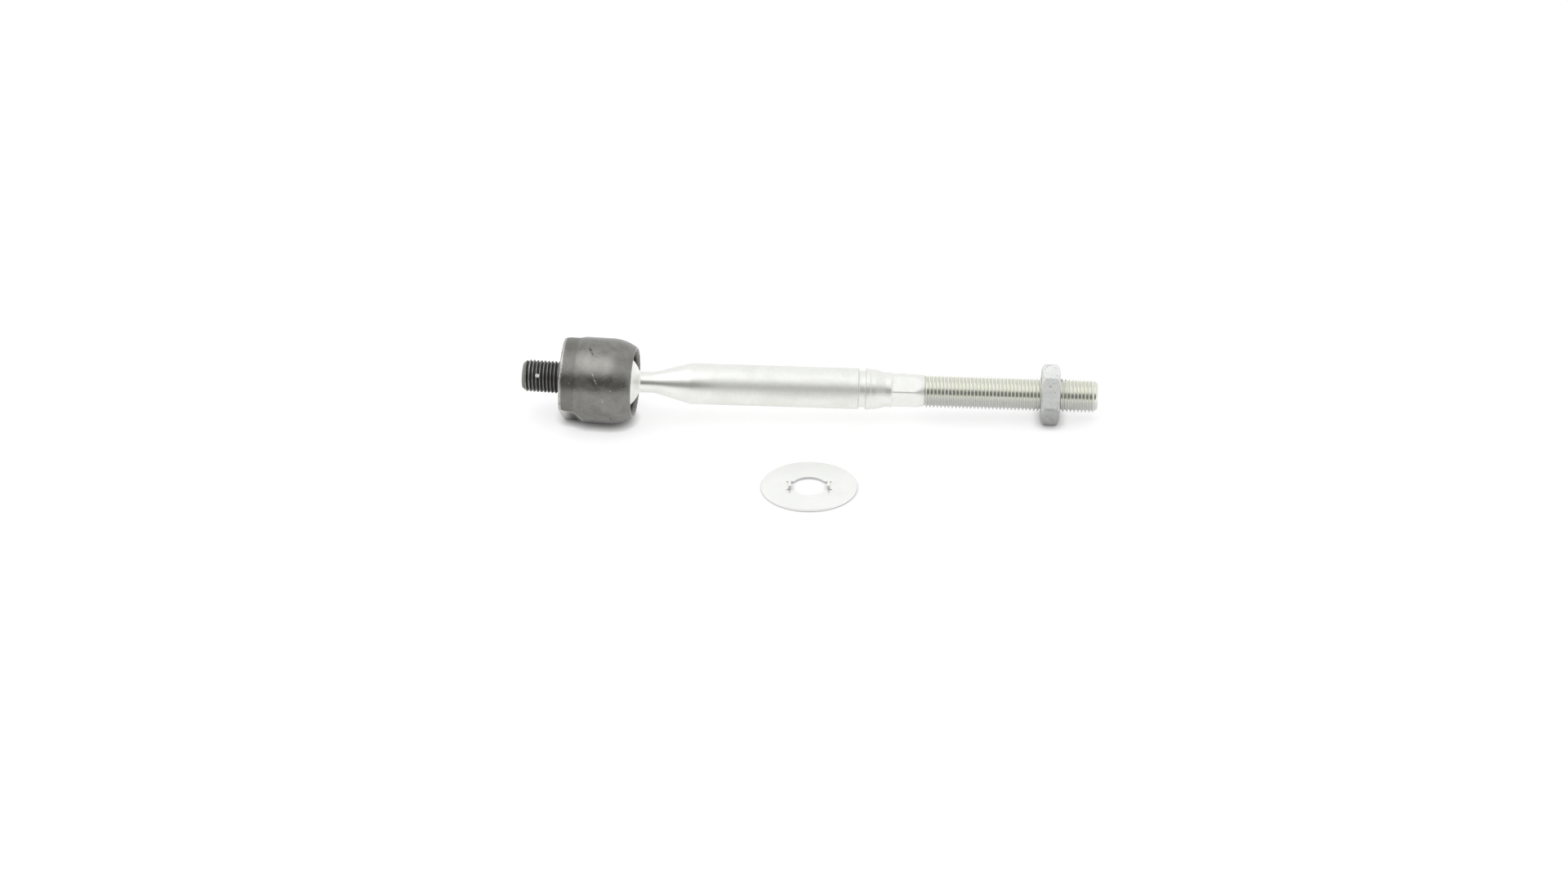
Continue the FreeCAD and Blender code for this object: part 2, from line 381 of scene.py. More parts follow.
def makeScratch():
    # dotted scratch between two points, in metres
    tree, n, given, out = nodeGroup(
        "dottedScratch",
        {"From": (0.0, 0.0, 0.0), "To": (0.0, 0.0, 0.0), "Width": 0.0006, "Dots": 1500.0},
        ["Mask"],
    )
    where = n.place()
    along = n.vector("SUBTRACT", given["To"], given["From"])
    fromStart = n.vector("SUBTRACT", where, given["From"])
    run = n.vector("DOT_PRODUCT", fromStart, along)
    whole = n.vector("DOT_PRODUCT", along, along)
    share = n.math("DIVIDE", run, n.math("MAXIMUM", whole, 1e-9), clamp=True)  # never divides by zero
    foot = n.put("ShaderNodeVectorMath", {0: along, "Scale": share}, operation="SCALE").outputs[0]
    far = n.vector("DISTANCE", fromStart, foot)
    near = n.ramp(far, n.math("MULTIPLY", given["Width"], 0.3), given["Width"], 1.0, 0.0)
    dots = n.noise(where, given["Dots"], 2.0)
    n.feed(out["Mask"], n.math("MULTIPLY", near, n.ramp(dots, 0.5, 0.6)))
    return tree


grainGroup = makeGrain()
patchGroup = makePatches()
edgeGroup = makeEdgeWearAndShadeMask()
spotGroup = makeSpot()
scratchGroup = makeScratch()


def newMaterial(name):
    material = bpy.data.materials.new(name)
    material.use_nodes = True
    n = Nodes(material.node_tree)
    shader = n.put("ShaderNodeBsdfPrincipled")
    n.put("ShaderNodeOutputMaterial", {"Surface": shader.outputs[0]})
    return material, n, shader


def useGroup(n, tree, **values):
    return n.put("ShaderNodeGroup", values, node_tree=tree).outputs


def setShader(n, shader, colour, metallic, roughness, normal):
    given = {"Base Color": colour, "Metallic": metallic, "Roughness": roughness, "Normal": normal}
    for label, value in given.items():
        n.feed(shader.inputs[label], value)


# turned, tumbled and grooved are the roughness of the neck, the shank and what follows the boot groove;
# the last three are millimetres along the rod from the ball's centre
rodFinish = {
    "bright": (0.89, 0.895, 0.86, 1.0),
    "dull": (0.85, 0.855, 0.815, 1.0),
    "speck": (0.6, 0.605, 0.57, 1.0),
    "speckShare": 0.3,
    "shadeLine": (0.3, 0.31, 0.28, 1.0),
    "bump": 0.00006,
    "turned": 0.3,
    "tumbled": 0.5,
    "grooved": 0.43,
    "uneven": 0.04,
    "turnedEnd": 28.0,
    "tumbledStart": 48.0,
    "groovedFrom": (101.0, 101.2),
}


def alongRod(n):
    # distance from the ball's centre along the rod, in millimetres
    out = n.vector("SUBTRACT", n.place(), ballCentre)
    return n.math("DIVIDE", n.vector("DOT_PRODUCT", out, rodAxis), mm)


def makeRodZinc():
    material, n, shader = newMaterial("rodZinc")
    f = rodFinish
    patches = useGroup(n, patchGroup, Size=110.0, Twist=0.8, Seed=0.13)
    fine = useGroup(n, grainGroup, Scale=3400.0)
    coarse = useGroup(n, grainGroup, Scale=1900.0)
    edges = useGroup(n, edgeGroup, Amount=0.5, Breakup=500.0)
    colour = n.mix(patches["Soft"], f["bright"], f["dull"])
    colour = n.mix(n.math("MULTIPLY", coarse["Sparkle"], f["speckShare"]), colour, f["speck"])
    # painted shade: the marked groove and hexagon edges get a dark line
    colour = n.mix(edges["Mask"], colour, f["shadeLine"])
    height = n.math("MULTIPLY_ADD", coarse["Height"], 0.5, n.math("MULTIPLY", fine["Height"], 0.5))
    # the neck, and what is turned after the shank, are smoother than the tumbled shank
    along = alongRod(n)
    smooth = n.ramp(along, f["turnedEnd"], f["tumbledStart"], f["turned"], f["tumbled"])
    late = n.ramp(along, *f["groovedFrom"], 0.0, f["tumbled"] - f["grooved"])
    smooth = n.math("SUBTRACT", smooth, late)
    rough = n.math("MULTIPLY_ADD", patches["Soft"], f["uneven"], smooth)
    setShader(n, shader, colour, 1.0, rough, n.bump(height, 1.0, f["bump"]))
    return material


threadFinish = {
    "crest": (0.95, 0.95, 0.92, 1.0),
    "valley": (0.78, 0.785, 0.71, 1.0),
    "shadeBelow": (0.64, 0.645, 0.62, 1.0),
    "crestFrom": (0.84, 0.98),
    "bump": 0.00002,
}


def makeThreadZinc():
    material, n, shader = newMaterial("threadZinc")
    f = threadFinish
    edges = useGroup(n, edgeGroup, Kept=1.0)
    grain = useGroup(n, grainGroup, Scale=3600.0)
    # painted highlight: the crests are painted pale and less metallic, and the valleys darker as painted
    # shade
    crest = n.ramp(edges["Mask"], *f["crestFrom"])
    # painted shade: the grooves are greyer on faces that look down
    facing = n.part(n.put("ShaderNodeNewGeometry").outputs["Normal"], "Z")
    valley = n.mix(n.ramp(facing, -0.1, 0.22, 1.0, 0.0), f["valley"], f["shadeBelow"])
    colour = n.mix(crest, valley, f["crest"])
    metallic = n.ramp(crest, 0.0, 1.0, 1.0, 0.25)
    rough = n.ramp(crest, 0.0, 1.0, 0.2, 0.5)
    setShader(n, shader, colour, metallic, rough, n.bump(grain["Height"], 0.3, f["bump"]))
    return material


nutFinish = {
    "pale": (0.89, 0.895, 0.87, 1.0),
    "grey": (0.79, 0.805, 0.79, 1.0),
    "pit": (0.25, 0.26, 0.255, 1.0),
    "rim": (0.4, 0.41, 0.4, 1.0),
    "pitShare": 0.8,
    "bump": 0.0001,
}


def makeNutZinc():
    material, n, shader = newMaterial("nutZinc")
    f = nutFinish
    patches = useGroup(n, patchGroup, Size=260.0, Twist=1.0, Seed=0.41)
    pits = useGroup(n, patchGroup, Size=900.0, Twist=0.4, Seed=0.77)
    edges = useGroup(n, edgeGroup, Amount=0.85, Breakup=700.0)
    base = n.mix(patches["Soft"], f["pale"], f["grey"])
    few = n.math("MULTIPLY", n.ramp(pits["Soft"], 0.9, 1.0), n.ramp(patches["Soft"], 0.2, 0.6))
    few = n.math("MULTIPLY", few, f["pitShare"])
    base = n.mix(few, base, f["pit"])
    # painted shade: the marked flat edges and face rims get a dark outline
    colour = n.mix(edges["Mask"], base, f["rim"])
    height = n.math("SUBTRACT", patches["Soft"], few)
    rough = n.ramp(patches["Soft"], 0.0, 1.0, 0.42, 0.6)
    setShader(n, shader, colour, 0.12, rough, n.bump(height, 0.7, f["bump"]))
    return material


# holeWall and disc are distances from the washer's middle, foot is a height over its underside and far
# a distance past the middle along y, all in millimetres
washerFinish = {
    "bright": (0.985, 0.99, 0.965, 1.0),
    "dull": (0.955, 0.96, 0.935, 1.0),
    "edge": (0.82, 0.82, 0.81, 1.0),
    "hole": (0.84, 0.84, 0.83, 1.0),
    "holeWall": (9.5, 11.0),
    "disc": (19.0, 19.2),
    "foot": (0.15, 0.45),
    "far": (2.0, 8.0),
    "bump": 0.00002,
}


def makeWasherZinc():
    material, n, shader = newMaterial("washerZinc")
    f = washerFinish
    patches = useGroup(n, patchGroup, Size=70.0, Twist=0.5, Seed=0.29)
    grain = useGroup(n, grainGroup, Scale=1500.0)
    colour = n.mix(patches["Soft"], f["bright"], f["dull"])
    # painted shade: the stamped hole's wall, a painted contact shadow along the foot of the rim and the
    # rim's far side are greyer than the faces
    low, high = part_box("lock_washer")
    middle = ((low.x + high.x) / 2, (low.y + high.y) / 2, low.z)
    spot = n.put("ShaderNodeNewGeometry").outputs
    place = n.put("ShaderNodeSeparateXYZ", {"Vector": spot["Position"]}).outputs
    wall = n.ramp(n.math("ABSOLUTE", n.part(spot["True Normal"], "Z")), 0.5, 0.95, 1.0, 0.0)

    def within(span):
        return useGroup(n, spotGroup, Point=middle, Inner=span[0] * mm, Outer=span[1] * mm)["Mask"]

    holeShadeMask = n.math("MULTIPLY", wall, within(f["holeWall"]))
    foot = n.ramp(place["Z"], low.z + f["foot"][0] * mm, low.z + f["foot"][1] * mm, 1.0, 0.0)
    far = n.ramp(place["Y"], middle[1] + f["far"][0] * mm, middle[1] + f["far"][1] * mm)
    atRim = n.math("SUBTRACT", 1.0, within(f["disc"]))
    shadeLine = n.math("MULTIPLY", atRim, n.math("MAXIMUM", foot, far))
    colour = n.mix(holeShadeMask, colour, f["hole"])
    colour = n.mix(shadeLine, colour, f["edge"])
    metallic = n.ramp(n.math("MAXIMUM", holeShadeMask, shadeLine), 0.0, 1.0, 1.0, 0.25)
    setShader(n, shader, colour, metallic, 0.36, n.bump(grain["Height"], 0.2, f["bump"]))
    return material


# the spans are in millimetres: band, rubbedHighlightFrom, flatEnd, flatFade and mouthDepth from the rack
# face, mouthEdge and funnelFade from the socket's axis
forgingFinish = {
    "dark": (0.18, 0.177, 0.165, 1.0),
    "light": (0.28, 0.276, 0.258, 1.0),
    "polishedHighlight": (0.39, 0.386, 0.36, 1.0),
    "mouthShade": (0.035, 0.035, 0.033, 1.0),
    "funnelRim": (0.13, 0.128, 0.12, 1.0),
    "edge": (0.6, 0.59, 0.56, 1.0),
    "pit": (0.05, 0.046, 0.034, 1.0),
    "scratchAndGlint": (0.66, 0.66, 0.62, 1.0),
    "rough": (0.25, 0.34),
    "flatReflection": (0.62, 0.61, 0.58, 1.0),
    "flatShade": (0.06, 0.059, 0.054, 1.0),
    "band": (5.9, 6.6),
    "bandShare": 0.4,
    "rubbedHighlightFrom": (6.2, 7.4),
    "flatEnd": (7.2, 8.2),
    "flatFade": (1.8, 5.0),
    "flatShare": 0.75,
    "mouthDepth": (20.0, 21.0),
    "mouthEdge": (13.8, 14.0),
    "funnelFade": (12.2, 14.0),
    "scratchAndGlintShare": 0.8,
    "markDepth": 1.5,
    "bump": 0.00005,
}

# marks left by handling, and two painted highlights on the mouth's rim, from and to (x mm, angle round the
# barrel) and the width in mm; 90 degrees is the top and 180 the front
pitMarks = [
    ((11.3, 104.0), (14.9, 121.0), 1.0), ((13.0, 109.0), (14.2, 117.0), 0.6),
    ((20.5, -148.8), (21.4, -147.0), 0.6),
]
scratchAndGlintMarks = [
    ((13.2, 138.0), (15.4, 154.0), 0.5), ((15.4, 154.0), (18.3, 180.0), 0.4),
    ((4.2, 157.0), (5.6, 160.0), 0.35), ((20.9, 162.0), (21.5, 164.5), 0.4),
    # the next two are painted highlights on the mouth's rim, at the lip's radius
    ((29.1, 116.0, 14.1), (29.1, 138.0, 14.1), 0.7), ((29.1, -146.0, 14.1), (29.1, -124.0, 14.1), 0.7),
]
markR = 17.3  # the barrel's radius for marks, in mm
# where the finish is rubbed, with a painted highlight laid over it, as (x mm, angle, inner mm, outer mm)
rubbedHighlightSpots = [(12.5, 124.0, 2.0, 8.0), (19.0, 131.0, 1.0, 6.0)]


def onBarrel(mark):
    # a third figure is the radius, where it isn't the barrel's own
    x, deg = mark[:2]
    r = mark[2] if len(mark) > 2 else markR
    a = math.radians(deg)
    return (x * mm, r * mm * math.cos(a), r * mm * math.sin(a))


def markMask(n, marks, dots):
    mask = 0.0
    for start, end, width in marks:
        part = useGroup(n, scratchGroup, From=onBarrel(start), To=onBarrel(end), Width=width * mm, Dots=dots)
        mask = n.math("MAXIMUM", part["Mask"], mask)
    return mask


def makeForging():
    material, n, shader = newMaterial("phosphatedForging")
    f = forgingFinish
    where = n.place()
    along = n.part(where, "X")
    patches = useGroup(n, patchGroup, Size=85.0, Twist=1.1, Seed=0.52)
    mottle = useGroup(n, patchGroup, Size=300.0, Twist=0.4, Seed=0.91)
    grain = useGroup(n, grainGroup, Scale=3300.0)
    edges = useGroup(n, edgeGroup, Amount=0.8, Breakup=800.0)
    tone = n.math("MULTIPLY_ADD", mottle["Soft"], 0.4, n.math("MULTIPLY", patches["Soft"], 0.6))
    colour = n.mix(tone, f["dark"], f["light"])
    # the band beside the rack face is darker than the barrel
    band = n.rampMm(along, f["band"], f["bandShare"], 0.0)
    colour = n.mix(band, colour, f["funnelRim"])
    # painted highlight over the rubbed spots, speckled by the grain
    rubbedHighlight = 0.0
    for x, deg, inner, outer in rubbedHighlightSpots:
        spot = useGroup(n, spotGroup, Point=onBarrel((x, deg)), Inner=inner * mm, Outer=outer * mm)
        rubbedHighlight = n.math("MAXIMUM", spot["Mask"], rubbedHighlight)
    rubbedHighlight = n.math("MULTIPLY", rubbedHighlight, n.rampMm(along, f["rubbedHighlightFrom"]))
    speckle = n.math("MULTIPLY_ADD", mottle["Soft"], -0.35, 0.55)
    speckle = n.math("MULTIPLY_ADD", grain["Sparkle"], 0.45, speckle)
    colour = n.mix(n.math("MULTIPLY", rubbedHighlight, speckle, clamp=True), colour, f["polishedHighlight"])
    # painted reflection and painted shade on the lower flat: bright near the rack face, darker towards its
    # run-out
    a = math.radians(socket["flatDeg"] + 180)
    normal = n.put("ShaderNodeNewGeometry").outputs["True Normal"]
    facing = n.vector("DOT_PRODUCT", normal, (0.0, math.cos(a), math.sin(a)))
    onFlat = n.math("MULTIPLY", n.ramp(facing, 0.9, 0.96), n.rampMm(along, f["flatEnd"], 1.0, 0.0))
    flat = n.mix(n.rampMm(along, f["flatFade"]), f["flatReflection"], f["flatShade"])
    colour = n.mix(n.math("MULTIPLY", onFlat, f["flatShare"]), colour, flat)
    # painted shade inside the mouth: the turned funnel is painted dark, less so towards its rim
    off = n.vector("LENGTH", n.vector("MULTIPLY", where, (0.0, 1.0, 1.0)))
    mouthShadeMask = n.math("MULTIPLY", n.rampMm(off, f["mouthEdge"], 1.0, 0.0), n.rampMm(along, f["mouthDepth"]))
    mouthShade = n.mix(n.rampMm(off, f["funnelFade"]), f["mouthShade"], f["funnelRim"])
    colour = n.mix(mouthShadeMask, colour, mouthShade)
    colour = n.mix(edges["Mask"], colour, f["edge"])
    pits = markMask(n, pitMarks, 900.0)
    scratchesAndGlints = markMask(n, scratchAndGlintMarks, 1500.0)
    colour = n.mix(pits, colour, n.mix(grain["Sparkle"], f["pit"], f["scratchAndGlint"]))
    # scratches, and painted highlights on the mouth's rim
    colour = n.mix(n.math("MULTIPLY", scratchesAndGlints, f["scratchAndGlintShare"]), colour, f["scratchAndGlint"])
    height = n.math("MULTIPLY_ADD", grain["Height"], 0.8, n.math("MULTIPLY", mottle["Soft"], 0.2))
    marks = n.math("MULTIPLY", n.math("MAXIMUM", pits, scratchesAndGlints), f["markDepth"])
    height = n.math("SUBTRACT", height, marks)
    rough = n.ramp(tone, 0.0, 1.0, *f["rough"])
    setShader(n, shader, colour, 0.9, rough, n.bump(height, 1.0, f["bump"]))
    return material


# endFade and wornTo run along x and chip is the fleck's inner and outer radius, all in millimetres;
# chipAt is (x mm, angle, radius mm)
studFinish = {
    "valley": (0.06, 0.06, 0.057, 1.0),
    "crest": (0.25, 0.248, 0.235, 1.0),
    "end": (0.36, 0.352, 0.31, 1.0),
    "worn": (0.7, 0.68, 0.6, 1.0),
    "chipColour": (1.0, 1.0, 0.98, 1.0),
    "chipAt": (-10.15, 149.0, 6.25),
    "chip": (0.75, 1.0),
    "endFade": (-16.2, -14.6),
    "endShare": 0.8,
    "wornTo": (-15.8, -10.5),
    "wornShare": 0.85,
    "bump": 0.00003,
}


def makeStudSteel():
    material, n, shader = newMaterial("phosphatedStud")
    f = studFinish
    edges = useGroup(n, edgeGroup, Breakup=900.0, Kept=0.85)
    grain = useGroup(n, grainGroup, Scale=2600.0)
    crest = n.ramp(edges["Mask"], 0.45, 1.0)
    colour = n.mix(crest, f["valley"], f["crest"])
    along = n.part(n.place(), "X")
    colour = n.mix(n.rampMm(along, f["endFade"], f["endShare"], 0.0), colour, f["end"])
    # the first crests are worn to the metal
    worn = n.rampMm(along, f["wornTo"], f["wornShare"], 0.0)
    worn = n.math("MULTIPLY", n.ramp(edges["Mask"], 0.75, 1.0), worn)
    worn = n.math("MULTIPLY", worn, n.ramp(grain["Height"], 0.5, 0.64))
    colour = n.mix(worn, colour, f["worn"])
    inner, outer = f["chip"]
    chip = useGroup(n, spotGroup, Point=onBarrel(f["chipAt"]), Inner=inner * mm, Outer=outer * mm)["Mask"]
    colour = n.mix(chip, colour, f["chipColour"])
    metallic = n.ramp(chip, 0.0, 1.0, 0.6, 0.0)
    rough = n.ramp(crest, 0.0, 1.0, 0.45, 0.38)
    setShader(n, shader, colour, metallic, rough, n.bump(grain["Height"], 0.4, f["bump"]))
    return material


ringFinish = {
    "dark": (0.016, 0.016, 0.017, 1.0),
    "light": (0.028, 0.028, 0.029, 1.0),
    "rough": (0.38, 0.52),
    "bump": 0.00004,
}


def makeRingPlastic():
    material, n, shader = newMaterial("ringPlastic")
    f = ringFinish
    patches = useGroup(n, patchGroup, Size=260.0, Twist=0.3, Seed=0.33)
    grain = useGroup(n, grainGroup, Scale=900.0)
    colour = n.mix(patches["Soft"], f["dark"], f["light"])
    rough = n.ramp(patches["Soft"], 0.0, 1.0, *f["rough"])
    setShader(n, shader, colour, 0.0, rough, n.bump(grain["Height"], 0.3, f["bump"]))
    return material


rodZinc = makeRodZinc()
threadZinc = makeThreadZinc()
nutZinc = makeNutZinc()
washerZinc = makeWasherZinc()
forging = makeForging()
studSteel = makeStudSteel()
ringPlastic = makeRingPlastic()
print("materials made")


# the forged socket: rack face, barrel with two wrench flats, rolled lip and open mouth

def flatHeight(x):
    s = socket
    if x < s["flatBevelLength"]:
        return s["flatH"] - s["flatBevel"] * (1 - x / s["flatBevelLength"])
    if x <= s["flatLength"]:
        return s["flatH"]
    return s["flatH"] + (x - s["flatLength"]) * math.tan(math.radians(s["flatRunoutDeg"]))


def makeSocket():
    s = socket
    # the crown is part of a ball, and the straight barrel from the rim touches it at barrelX
    rise = math.hypot(s["crownX"] - s["rimBevel"], s["rimR"])
    lean = math.atan2(s["rimR"], s["crownX"] - s["rimBevel"]) + math.acos(s["bodyR"] / rise)
    barrelX = s["crownX"] - s["bodyR"] * math.cos(lean)
    barrelR = s["bodyR"] * math.sin(lean)
    lipDeg = math.degrees(math.acos((s["mouthX"] - s["lipDrop"] - s["crownX"]) / s["bodyR"]))
    crown = arcPoints(s["crownX"], 0, s["bodyR"], 180 - math.degrees(lean), lipDeg, s["crownSteps"])
    lipX, lipR = crown[-1]
    rim = roundedOutline([
        (0, s["studR"], 0), (0, s["rimR"] - s["rimBevel"], s["faceRound"]),
        (s["rimBevel"], s["rimR"], s["rimRound"]), (barrelX, barrelR, 0),
    ], 4)
    mouth = roundedOutline([
        (lipX, lipR, 0), (s["mouthX"], lipR - s["lipDrop"], s["lipRound"]),
        (s["mouthX"], s["mouthR"], s["mouthRound"]), (s["throatX"], s["throatR"], s["throatRound"]),
        (s["boreX"], s["boreR"], 0),
    ], 6)
    outside = filled(rim, 0.3) + crown[1:] + mouth[1:]
    inside = [
        (s["boreBackX"], s["boreR"]), (s["pocketX"], s["pocketR"]), (s["pocketFloor"], s["pocketR"]),
        (s["pocketFloor"], 0.0),
    ]
    rings = [(0.0, 0.0, None, 0.0)]
    for x, r in outside:
        atRim = 1.0 if s["rimWear"][0] < x < s["rimWear"][1] else 0.0
        atMouth = s["mouthWorn"] if x > s["mouthX"] - s["mouthWear"] else 0.0
        flat = flatHeight(x) if x < s["flatsEnd"] else None
        rings.append((x, r, flat, max(atRim, atMouth)))
    for x, r in inside:
        rings.append((x, r, None, 0.0))
    flats = (s["flatDeg"], s["flatDeg"] + 180)
    bm = turnedPiece(rings, flats, s["columns"], s["flatBlend"], s["flatWear"])
    piece = finishMesh("socketHousing", bm, socketPlace, "socket", forging, s["creaseDeg"])
    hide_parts("socket_housing")


stud = {
    "start": 0.0, "end": 16.68, "crest": 6.5, "depth": 0.74, "top": 0.26, "pitch": 1.48, "columns": 84,
    "fadeStart": 0.5, "fadeLength": 1.3, "plainR": 6.15, "creaseDeg": 40.0,
}


def makeStud():
    # the stud grows from the rack face towards -X
    place = socketPlace @ Matrix.Rotation(math.pi, 4, "Z")
    finishMesh("rackStud", threadPiece(stud), place, "socket", studSteel, stud["creaseDeg"])


makeSocket()
makeStud()
print("socket made")


# the rod: ball, neck, cone, shank with the boot groove, shoulder, waist and wrench hexagon

rod = {
    "ballR": 12.98, "ballFromDeg": 164.3, "ballSteps": 54, "neckR": 4.3, "neckRoot": 1.2,
    "coneX": 18.3, "shankX": 33.0, "shankR": 8.35, "coneBlend": 8.0,
    "grooveX": 101.1, "grooveEnd": 104.0, "grooveR": 7.55, "grooveWall": 0.15, "grooveRound": 0.25,
    "grooveRoot": 0.35, "grooveShadeReach": 0.2,
    "collarEnd": 105.9, "collarRound": 0.2, "collarStep": 0.1, "shoulderR": 8.1, "shoulderEnd": 108.0,
    "shoulderRound": 1.5, "taperEnd": 111.9, "taperRound": 2.5, "waistR": 7.05, "waistEnd": 114.2,
    "hexH": 6.4, "hexR": 7.33, "hexEnd": 123.8, "hexDeg": 8.8, "hexRise": 0.7, "riseStep": 0.1,
    "riseSteps": 7, "riseFull": 5, "flatLead": 0.1, "hexSteps": 13, "runOutSteps": 12, "runOutSink": 0.02,
    "threadX": 127.7, "coverRun": 0.3, "coverR": 5.9,
    "columns": 288, "blend": 0.35, "edgeWearAndShade": 0.12, "creaseDeg": 26.0,
}


def makeRod():
    s = rod
    root = math.sqrt((s["ballR"] + s["neckRoot"]) ** 2 - (s["neckR"] + s["neckRoot"]) ** 2)
    lean = math.degrees(math.atan2(s["neckR"] + s["neckRoot"], root))
    ball = arcPoints(0, 0, s["ballR"], s["ballFromDeg"], lean, s["ballSteps"])
    neck = arcPoints(root, s["neckR"] + s["neckRoot"], s["neckRoot"], 180 + lean, 270, 8)
    body = roundedOutline([
        (root, s["neckR"], 0), (s["coneX"], s["neckR"], s["coneBlend"]),
        (s["shankX"], s["shankR"], s["coneBlend"]),
        (s["grooveX"], s["shankR"], s["grooveRound"]),
        (s["grooveX"] + s["grooveWall"], s["grooveR"], s["grooveRoot"]),
        (s["grooveEnd"] - s["grooveWall"], s["grooveR"], s["grooveRoot"]),
        (s["grooveEnd"], s["shankR"], s["grooveRound"]),
        (s["collarEnd"], s["shankR"], s["collarRound"]),
        (s["collarEnd"] + s["collarStep"], s["shoulderR"], s["collarStep"]),
        (s["shoulderEnd"], s["shoulderR"], s["shoulderRound"]),
        (s["taperEnd"], s["waistR"], s["taperRound"]), (s["waistEnd"], s["waistR"], 0),
    ], 5)
    outside = filled(ball, 1.0) + neck[1:] + filled(body, 1.2)[1:]
    rings = [(ball[0][0], 0.0, None, 0.0)]
    for x, r in outside:
        atGroove = min(abs(x - s["grooveX"]), abs(x - s["grooveEnd"])) < s["grooveShadeReach"]
        atEdge = 1.0 if atGroove and r > s["shankR"] - s["grooveShadeReach"] else 0.0
        rings.append((x, r, None, atEdge))
    # the corners of the hexagon rise out of the waist as its flats sink in
    for k in range(1, s["riseSteps"] + 1):
        x = s["waistEnd"] + s["riseStep"] * k
        r = s["waistR"] + (s["hexR"] - s["waistR"]) * min(1.0, k / s["riseFull"])
        flat = max(s["hexH"], s["waistR"] + s["flatLead"] - (x - s["waistEnd"]))
        rings.append((x, r, flat, 0.0))
    for k in range(1, s["hexSteps"] + 1):
        run = s["hexEnd"] - s["waistEnd"] - s["hexRise"]
        x = s["waistEnd"] + s["hexRise"] + run * k / s["hexSteps"]
        rings.append((x, s["hexR"], s["hexH"], 0.0))
    # the corners run out in points towards the thread
    for k in range(1, s["runOutSteps"] + 1):
        x = s["hexEnd"] + (s["threadX"] - s["hexEnd"]) * k / s["runOutSteps"]
        r = s["hexR"] + (s["hexH"] - s["runOutSink"] - s["hexR"]) * k / s["runOutSteps"]
        rings.append((x, r, s["hexH"], 0.0))
    rings.append((s["threadX"] + s["coverRun"], s["coverR"], None, 0.0))
    rings.append((s["threadX"] + s["coverRun"], 0.0, None, 0.0))
    flats = [s["hexDeg"] + 60 * k for k in range(6)]
    bm = turnedPiece(rings, flats, s["columns"], s["blend"], s["edgeWearAndShade"])
    piece = finishMesh("rodBar", bm, rodPlace, "rod", rodZinc, s["creaseDeg"])
    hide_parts("tie_rod")


rodThread = {
    "start": rod["threadX"], "end": 198.08, "crest": 6.72, "depth": 0.8, "top": 0.22, "pitch": 1.5,
    "columns": 72, "fadeStart": rod["threadX"], "fadeLength": 0.9, "plainR": 5.92, "creaseDeg": 40.0,
}


def makeRodThread():
    bm = threadPiece(rodThread)
    finishMesh("rodThread", bm, rodPlace, "rod", threadZinc, rodThread["creaseDeg"])


makeRod()
makeRodThread()
print("rod made")


# the jam nut: six flats under a bevel at each face, countersunk thread mouths

nut = {
    "start": 175.2, "end": 182.7, "flatH": 10.85, "cornerR": 12.38, "faceR": 10.6, "bevelDeg": 30.0,
    "rounding": 1.2, "boreR": 6.9, "sink": 0.7, "drawIn": 0.12, "drawInRun": 0.5, "faceShade": 0.5,
    "faceShadeRun": 0.05, "longest": 0.35, "columns": 288, "blend": 0.25, "edgeWearAndShade": 0.7, "creaseDeg": 22.0,
}


def makeNut():
    s = nut
    bevel = (s["cornerR"] - s["faceR"]) * math.tan(math.radians(s["bevelDeg"]))
    half = roundedOutline([
        (s["start"], s["boreR"] + s["sink"], 0), (s["start"], s["faceR"], s["rounding"]),
        (s["start"] + bevel, s["cornerR"], s["rounding"]), ((s["start"] + s["end"]) / 2, s["cornerR"], 0),
    ], 6)
    side = filled(half, s["longest"])
    outline = side + [(s["start"] + s["end"] - x, r) for x, r in reversed(side)][1:]
    rings = []
    for x, r in outline:
        edge = min(x - s["start"], s["end"] - x)
        # the flats draw in a little at their rims, as on pressed nuts
        h = s["flatH"] - s["drawIn"] * max(0.0, 1 - edge / s["drawInRun"]) ** 2
        rings.append((x, r, h, s["faceShade"] if edge < s["faceShadeRun"] else 0.0))
    rings.append((s["end"] - s["sink"], s["boreR"], None, 0.0))
    rings.append((s["start"] + s["sink"], s["boreR"], None, 0.0))
    rings.append(rings[0][:2] + (None, s["faceShade"]))
    flats = [30 + 60 * k for k in range(6)]
    bm = turnedPiece(rings, flats, s["columns"], s["blend"], s["edgeWearAndShade"])
    bmesh.ops.remove_doubles(bm, verts=bm.verts, dist=weldMm)
    piece = finishMesh("jamNut", bm, rodPlace, "nut", nutZinc, s["creaseDeg"])
    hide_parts("jam_nut")


makeNut()
print("nut made")


# the washer and the bearing ring: the solids' own shapes with broken edges

trim = {"washerEdge": 0.14, "ringEdge": 0.2, "sharpDeg": 40.0, "creaseDeg": 15.0}


def makeTrimmed(node, name, body, material, edge):
    solid = frame["nodes"][node]
    bm = bmesh.new()
    bm.from_mesh(solid.data)
    bm.transform(Matrix.Scale(1 / mm, 4) @ solid.matrix_world)
    bmesh.ops.remove_doubles(bm, verts=bm.verts, dist=weldMm)
    least = math.radians(trim["sharpDeg"])
    sharp = [e for e in bm.edges if e.is_manifold and e.calc_face_angle() > least]
    bmesh.ops.bevel(bm, geom=sharp, offset=edge, segments=2, profile=0.5, affect="EDGES", clamp_overlap=True)
    piece = finishMesh(name, bm, Matrix.Identity(4), body, material, trim["creaseDeg"])
    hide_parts(node)


makeTrimmed("lock_washer", "lockWasher", "socket", washerZinc, trim["washerEdge"])
makeTrimmed("ball_seat", "seatRing", "seat", ringPlastic, trim["ringEdge"])
print("washer and ring made")


